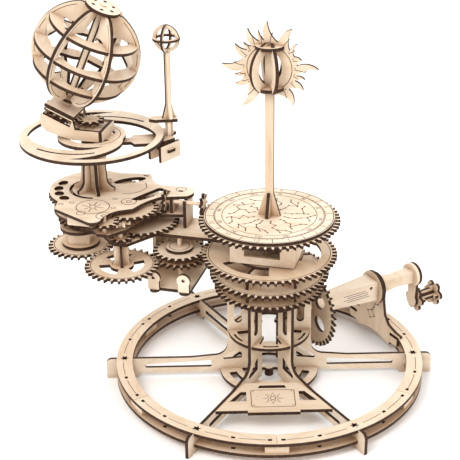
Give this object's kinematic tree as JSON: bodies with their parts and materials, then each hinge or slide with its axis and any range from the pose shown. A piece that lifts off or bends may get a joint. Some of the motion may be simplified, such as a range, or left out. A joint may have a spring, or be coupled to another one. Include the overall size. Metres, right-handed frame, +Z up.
{
  "type": "orrery",
  "caption": "Hand-cranked plywood orrery: a geared arm carries an Earth globe and a Moon round a fixed Sun on a ringed base.",
  "frame": {"origin": "on the floor under the column's axis", "axes": "+Z up, +X along one base leg towards the side that holds the crank, the Earth arm at rest towards -X"},
  "size_m": [0.3927, 0.28, 0.3467],
  "materials": {
    "birch_ply": "laser-cut birch plywood with burnt edges",
    "shaft_wood": "turned wooden rod"
  },
  "bodies": {
    "base": {"ring_upper": "birch_ply", "ring_lower": "birch_ply", "ring_spacers": "birch_ply", "base_legs": "birch_ply", "hub_floor_disc": "birch_ply", "sign_plate": "birch_ply", "tie_discs": "birch_ply", "bearing_disc": "birch_ply", "spindle": "shaft_wood", "dial_gear": "birch_ply", "dial_face": "birch_ply", "sun_post": "birch_ply", "sun_rays": "birch_ply", "sun_ribs": "birch_ply", "crank_inner_bearing": "birch_ply", "crank_cover": "birch_ply", "crank_bracket": "birch_ply"},
    "drum": {"drum_core": "birch_ply", "drum_gear_lower": "birch_ply", "drum_gear_middle": "birch_ply", "drum_gear_upper": "birch_ply"},
    "crank": {"crank_shaft": "birch_ply", "crank_gear": "birch_ply", "crank_arm": "birch_ply"},
    "knob": {"crank_knob": "birch_ply"},
    "arm": {"arm_hub_box": "birch_ply", "arm_plate_lower": "birch_ply", "arm_plate_middle": "birch_ply", "arm_plate_top": "birch_ply", "arm_blocks": "birch_ply", "arm_carriage": "birch_ply", "earth_post": "birch_ply"},
    "arbor": {"arbor_shaft": "shaft_wood", "arbor_pinions": "birch_ply"},
    "relay": {"relay_gear": "birch_ply", "relay_shaft": "birch_ply"},
    "branch": {"branch_gear": "birch_ply", "branch_shaft": "birch_ply"},
    "transfer": {"transfer_gear_lower": "birch_ply", "transfer_gear_upper": "birch_ply"},
    "outer_wheels": {"outer_gear_lower": "birch_ply", "outer_gear_upper": "birch_ply"},
    "idler": {"idler_pinion": "birch_ply"},
    "moon_drive": {"moon_drive_gear": "birch_ply"},
    "counter": {"counter_gear": "birch_ply"},
    "moon": {"moon_wheel": "birch_ply", "moon_tube": "birch_ply", "phase_disc": "birch_ply", "moon_arm": "birch_ply", "moon_post": "birch_ply", "moon_rings": "birch_ply"},
    "earth_mount": {"mount_gear": "birch_ply", "mount_tube": "birch_ply", "orbit_ring": "birch_ply", "globe_bracket": "birch_ply"},
    "globe_rod": {"globe_drive": "birch_ply"},
    "globe": {"globe_axle": "birch_ply", "globe_ribs": "birch_ply", "globe_parallels": "birch_ply"}
  },
  "joints": [
    {"name": "arm_orbit", "type": "hinge", "parent": "base", "child": "arm", "pos_m": [0, 0, 0.1396], "axis": [0, 0, 1], "continuous": true},
    {"name": "drum_spin", "type": "hinge", "parent": "base", "child": "drum", "pos_m": [0, 0, 0.0922], "axis": [0, 0, 1], "continuous": true},
    {"name": "crank_turn", "type": "hinge", "parent": "base", "child": "crank", "pos_m": [0, 0, 0.0577], "axis": [0.866, 0.5, 0], "continuous": true},
    {"name": "knob_spin", "type": "hinge", "parent": "crank", "child": "knob", "pos_m": [0, 0, 0.0297], "axis": [0.866, 0.5, 0], "continuous": true},
    {"name": "arbor_spin", "type": "hinge", "parent": "arm", "child": "arbor", "pos_m": [0, 0, 0.1665], "axis": [-0.9613, 0.2756, 0], "continuous": true},
    {"name": "relay_spin", "type": "hinge", "parent": "arm", "child": "relay", "pos_m": [-0.11439, 0.0328, 0.143], "axis": [0, 0, 1], "continuous": true},
    {"name": "branch_spin", "type": "hinge", "parent": "arm", "child": "branch", "pos_m": [-0.13032, -0.00498, 0.143], "axis": [0, 0, 1], "continuous": true},
    {"name": "transfer_spin", "type": "hinge", "parent": "arm", "child": "transfer", "pos_m": [-0.0794, 0.00975, 0.117], "axis": [0, 0, 1], "continuous": true},
    {"name": "outer_spin", "type": "hinge", "parent": "arm", "child": "outer_wheels", "pos_m": [-0.16979, 0.03887, 0.117], "axis": [0, 0, 1], "continuous": true},
    {"name": "idler_spin", "type": "hinge", "parent": "arm", "child": "idler", "pos_m": [-0.13793, 0.00909, 0.1596], "axis": [0, 0, 1], "continuous": true},
    {"name": "moon_drive_spin", "type": "hinge", "parent": "arm", "child": "moon_drive", "pos_m": [-0.12276, 0.01418, 0.1629], "axis": [0, 0, 1], "continuous": true},
    {"name": "counter_spin", "type": "hinge", "parent": "arm", "child": "counter", "pos_m": [-0.1429, -0.01444, 0.1629], "axis": [0, 0, 1], "continuous": true},
    {"name": "moon_orbit", "type": "hinge", "parent": "arm", "child": "moon", "pos_m": [-0.15476, 0.04438, 0.1629], "axis": [0, 0, 1], "continuous": true},
    {"name": "earth_mount_turn", "type": "hinge", "parent": "arm", "child": "earth_mount", "pos_m": [-0.15476, 0.04438, 0.1498], "axis": [0, 0, 1], "continuous": true},
    {"name": "globe_rod_spin", "type": "hinge", "parent": "arm", "child": "globe_rod", "pos_m": [-0.15476, 0.04438, 0.1464], "axis": [0, 0, 1], "continuous": true},
    {"name": "globe_spin", "type": "hinge", "parent": "earth_mount", "child": "globe", "pos_m": [-0.15524, 0.04452, 0.2984], "axis": [0.3833, -0.1099, 0.9171], "continuous": true}
  ],
  "couplings": [
    {"joint": "drum_spin", "follows": "arm_orbit", "ratio": -4.5119},
    {"joint": "crank_turn", "follows": "arm_orbit", "ratio": 5.8905},
    {"joint": "arbor_spin", "follows": "arm_orbit", "ratio": -7.5},
    {"joint": "relay_spin", "follows": "arm_orbit", "ratio": 2.5},
    {"joint": "branch_spin", "follows": "arm_orbit", "ratio": -10.312},
    {"joint": "transfer_spin", "follows": "arm_orbit", "ratio": 14.531},
    {"joint": "outer_spin", "follows": "arm_orbit", "ratio": 11.417},
    {"joint": "idler_spin", "follows": "arm_orbit", "ratio": 10.312},
    {"joint": "moon_drive_spin", "follows": "arm_orbit", "ratio": -10.312},
    {"joint": "counter_spin", "follows": "arm_orbit", "ratio": 22.5},
    {"joint": "moon_orbit", "follows": "arm_orbit", "ratio": 12.375},
    {"joint": "earth_mount_turn", "follows": "arm_orbit", "ratio": -1},
    {"joint": "globe_rod_spin", "follows": "arm_orbit", "ratio": -11.417},
    {"joint": "globe_spin", "follows": "arm_orbit", "ratio": 6.5109}
  ]
}
